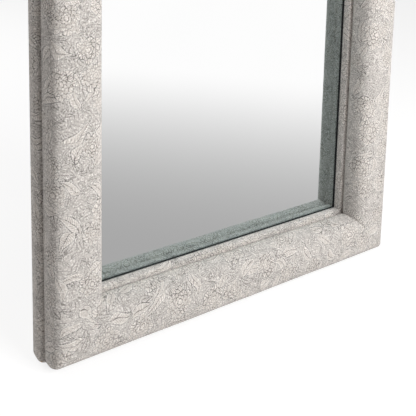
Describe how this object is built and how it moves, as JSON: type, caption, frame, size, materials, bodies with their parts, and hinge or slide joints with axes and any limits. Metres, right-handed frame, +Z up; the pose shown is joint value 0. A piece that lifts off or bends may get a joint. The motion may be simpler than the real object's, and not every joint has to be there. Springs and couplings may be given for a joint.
{
  "type": "floor mirror",
  "caption": "Tall upholstered floor mirror with a wide padded roll frame in printed fabric on a wrapped base, glass set behind a lip, swinging hanger rings on the back.",
  "frame": {"origin": "middle of the overall width and depth, at the floor under the pads", "axes": "+Z up, +X to the viewer's right when facing the glass, -Y is the front (glass) side, +Y the wall side"},
  "size_m": [0.914, 0.101, 1.833],
  "materials": {
    "printed_fabric": "woven linen with a fine printed scroll pattern",
    "foam": "open-cell foam under wadding",
    "core_wood": "sawn softwood",
    "rail_wood": "sawn softwood",
    "mirror_glass": "silvered float glass",
    "backing_board": "smooth brown hardboard",
    "block_rubber": "matte",
    "dowel_wood": "fluted hardwood",
    "zinc_steel": "zinc plated",
    "screw_steel": "zinc plated",
    "ring_steel": "drawn wire, zinc plated",
    "bumper_rubber": "matte",
    "pad_felt": "pressed felt"
  },
  "bodies": {
    "mirror": {"roll_core_bottom": "core_wood", "roll_foam_bottom": "foam", "roll_cover_bottom": "printed_fabric", "base_rail_bottom": "rail_wood", "base_cover_bottom": "printed_fabric", "roll_core_right": "core_wood", "roll_foam_right": "foam", "roll_cover_right": "printed_fabric", "base_rail_right": "rail_wood", "base_cover_right": "printed_fabric", "roll_core_top": "core_wood", "roll_foam_top": "foam", "roll_cover_top": "printed_fabric", "base_rail_top": "rail_wood", "base_cover_top": "printed_fabric", "roll_core_left": "core_wood", "roll_foam_left": "foam", "roll_cover_left": "printed_fabric", "base_rail_left": "rail_wood", "base_cover_left": "printed_fabric", "mirror_glass": "mirror_glass", "backing_board": "backing_board", "setting_blocks": "block_rubber", "corner_dowels": "dowel_wood", "core_splines": "dowel_wood", "corner_plates": "zinc_steel", "corner_plate_screws": "screw_steel", "retainer_clips": "zinc_steel", "retainer_screws": "screw_steel", "roll_fixing_screws": "screw_steel", "cover_staples": "screw_steel", "hanger_strap_left": "zinc_steel", "hanger_strap_right": "zinc_steel", "hanger_screws": "screw_steel", "wall_bumpers": "bumper_rubber", "floor_pads": "pad_felt"},
    "ring_left": {"hanger_ring_left": "ring_steel"},
    "ring_right": {"hanger_ring_right": "ring_steel"}
  },
  "joints": [
    {"name": "ring_left_swing", "type": "hinge", "parent": "mirror", "child": "ring_left", "pos_m": [-0.3955, 0.0457, 1.444], "axis": [1, 0, 0], "range_deg": [0, 180]},
    {"name": "ring_right_swing", "type": "hinge", "parent": "mirror", "child": "ring_right", "pos_m": [0.3955, 0.0457, 1.444], "axis": [1, 0, 0], "range_deg": [0, 180]}
  ]
}
